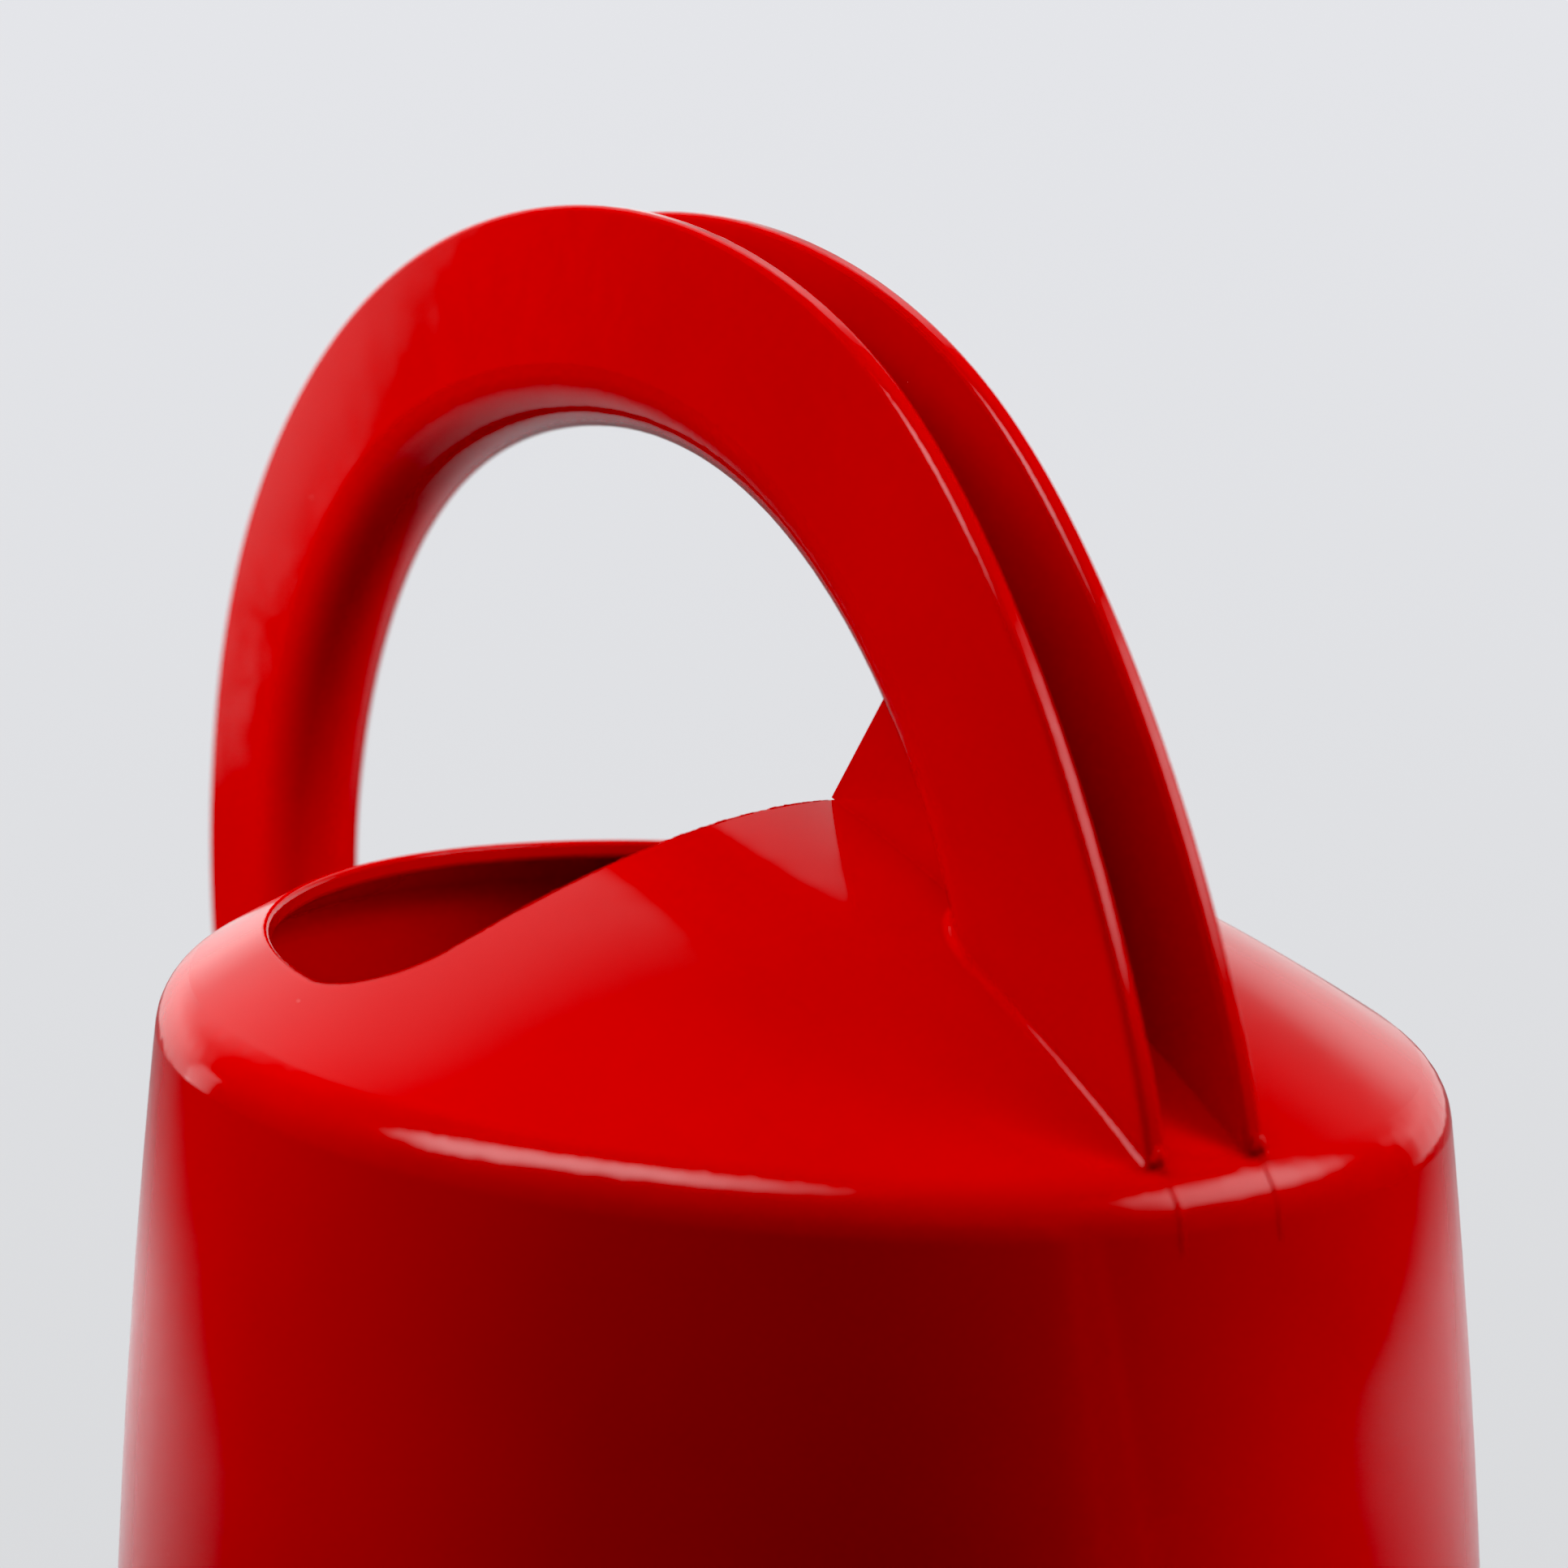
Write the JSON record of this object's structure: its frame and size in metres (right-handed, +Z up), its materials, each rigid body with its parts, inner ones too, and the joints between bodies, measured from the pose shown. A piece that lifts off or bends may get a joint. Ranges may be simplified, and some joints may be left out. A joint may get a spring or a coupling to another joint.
{
  "type": "watering can",
  "caption": "Round plastic watering can with a sloping domed shoulder, half-moon filling mouth, arched channel handle, plug-in spout and a turning sprinkler head.",
  "frame": {"origin": "centre of the foot, on the ground", "axes": "+X front, towards the spout; +Y left side; +Z up. The object is symmetric about the XZ plane"},
  "size_m": [0.4479, 0.172, 0.2365],
  "materials": {
    "red_plastic": "smooth moulded polypropylene, soft gloss",
    "seal_rubber": "matt black rubber",
    "grey_plastic": "satin moulded plastic"
  },
  "bodies": {
    "tank": {"tank_shell": "red_plastic", "carry_handle": "red_plastic", "base_plate": "red_plastic"},
    "spout": {"spout_tube": "red_plastic", "spout_seal": "seal_rubber"},
    "sleeve": {"rose_sleeve": "grey_plastic"},
    "rose": {"rose_shell": "red_plastic", "rose_plate": "grey_plastic"}
  },
  "joints": [
    {"name": "spout_pull_out", "type": "slide", "parent": "tank", "child": "spout", "axis": [0.9063, 0, 0.4226], "range_m": [0, 0.03]},
    {"name": "sleeve_pull_off", "type": "slide", "parent": "spout", "child": "sleeve", "axis": [0.829, 0, 0.5592], "range_m": [0, 0.02]},
    {"name": "rose_turn", "type": "hinge", "parent": "sleeve", "child": "rose", "pos_m": [0.226, 0, 0.156], "axis": [0.829, 0, 0.5592], "continuous": true}
  ]
}
